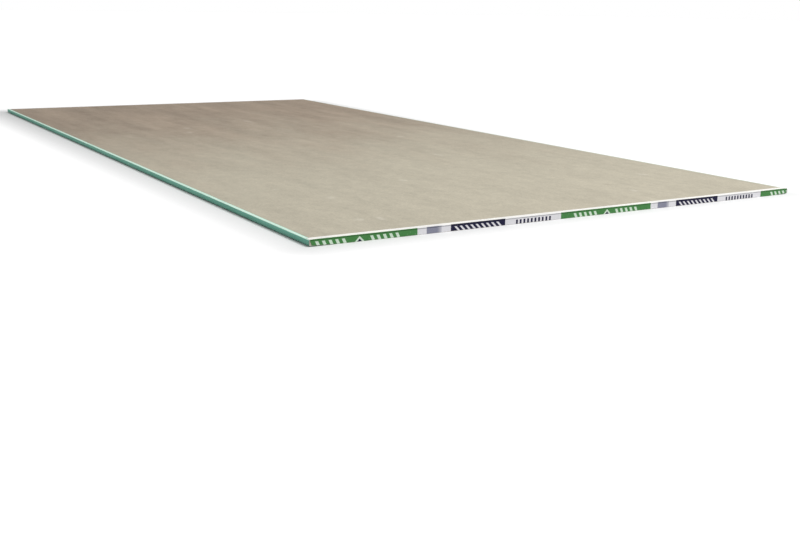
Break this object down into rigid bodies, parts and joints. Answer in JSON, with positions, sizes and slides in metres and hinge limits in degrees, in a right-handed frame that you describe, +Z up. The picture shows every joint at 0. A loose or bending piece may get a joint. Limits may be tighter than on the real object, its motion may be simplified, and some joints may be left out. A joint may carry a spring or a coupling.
{
  "type": "drywall sheet",
  "caption": "Flat paper-faced gypsum board with tapered long edges and paper-taped ends, lying back side up, for lining walls and ceilings.",
  "frame": {"origin": "under the middle of the sheet, on the plane that its face lies on", "axes": "+X along the sheet's length, +Y across its width, +Z up through its thickness, from the face to the back"},
  "size_m": [2.4392, 1.2192, 0.0131],
  "materials": {
    "board_paper": "matt grey-brown recycled back paper, green face paper round the long edges and on the face",
    "tape_paper": "smooth printed paper tape, white with green, navy and lilac-grey blocks"
  },
  "bodies": {
    "root": {"sheet": "board_paper", "end_tape_near": "tape_paper", "end_tape_far": "tape_paper"}
  },
  "joints": []
}
